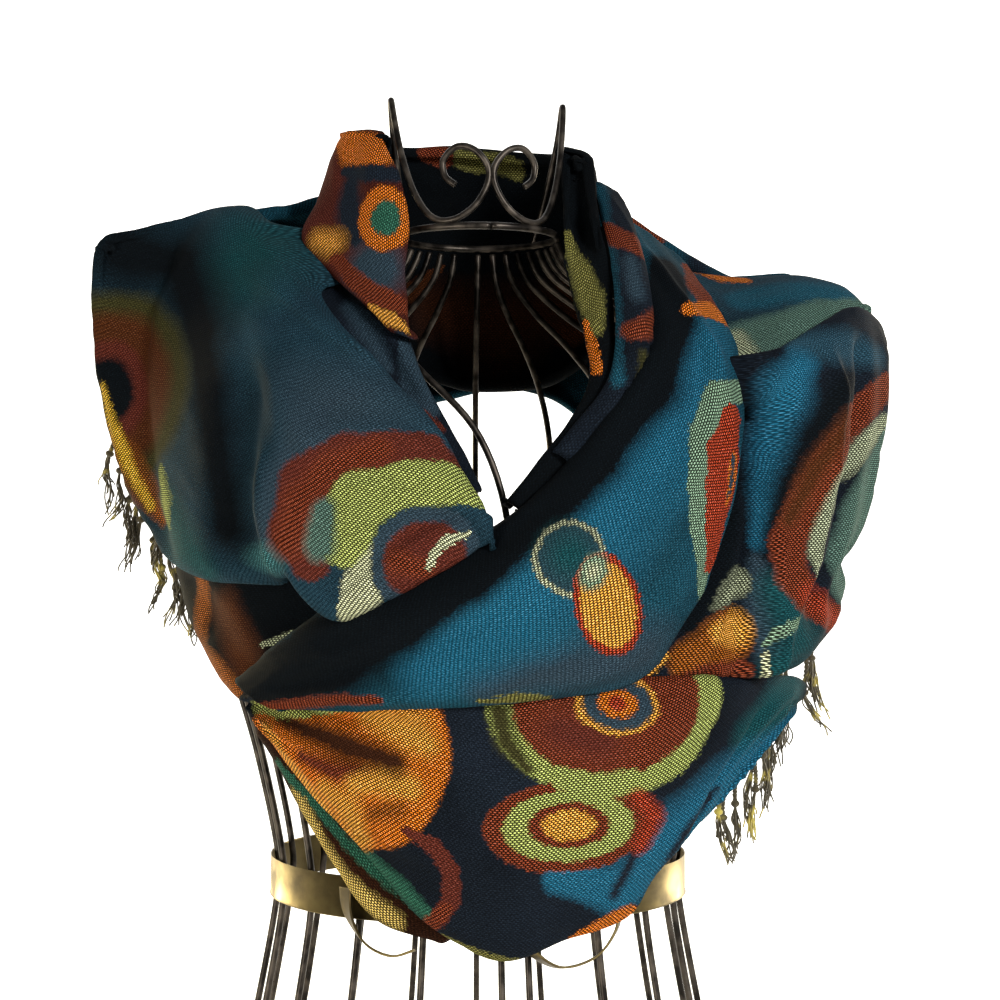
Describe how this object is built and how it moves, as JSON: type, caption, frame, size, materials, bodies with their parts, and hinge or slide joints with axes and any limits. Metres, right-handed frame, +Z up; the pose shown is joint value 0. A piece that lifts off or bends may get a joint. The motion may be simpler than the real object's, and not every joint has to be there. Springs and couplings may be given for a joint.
{
  "type": "pashmina shawl on a wire dress form",
  "caption": "Woven pashmina shawl with fringed ends, wrapped as a cowl on a limbless open wire dress form with a scrolled neck.",
  "frame": {"origin": "on the surface the form stands on, under the middle of the part's bounding box", "axes": "+Z up along the neck, -Y out of the front of the form, +X to the right of someone facing it"},
  "size_m": [0.5349, 0.3131, 0.7221],
  "materials": {
    "cloth": "woven, slightly lustrous",
    "fringe": "twisted yarn",
    "wire": "satin, antiqued",
    "brass": "aged satin"
  },
  "bodies": {
    "root": {"diagonal_band": "cloth", "neck_fold_left": "cloth", "shoulder_flap_left": "cloth", "front_point": "cloth", "shoulder_flap_right": "cloth", "shoulder_top_right": "cloth", "neck_pleat_outer": "cloth", "neck_pleat_inner": "cloth", "neck_tuck_left": "cloth", "pocket_left": "cloth", "collar_back": "cloth", "under_layer_left": "cloth", "back_left": "cloth", "back_right": "cloth", "tail_right": "cloth", "fringe_left": "fringe", "fringe_right": "fringe", "wire_left_1": "wire", "wire_right_1": "wire", "wire_left_2": "wire", "wire_right_2": "wire", "wire_left_3": "wire", "wire_right_3": "wire", "wire_left_4": "wire", "wire_right_4": "wire", "wire_left_5": "wire", "wire_right_5": "wire", "wire_left_6": "wire", "wire_right_6": "wire", "wire_left_7": "wire", "wire_right_7": "wire", "wire_left_8": "wire", "wire_right_8": "wire", "wire_left_9": "wire", "wire_right_9": "wire", "wire_left_10": "wire", "wire_right_10": "wire", "neck_top": "wire", "base_ring": "wire", "waist_band": "brass", "bow_loop_left": "brass", "bow_loop_right": "brass"}
  },
  "joints": []
}
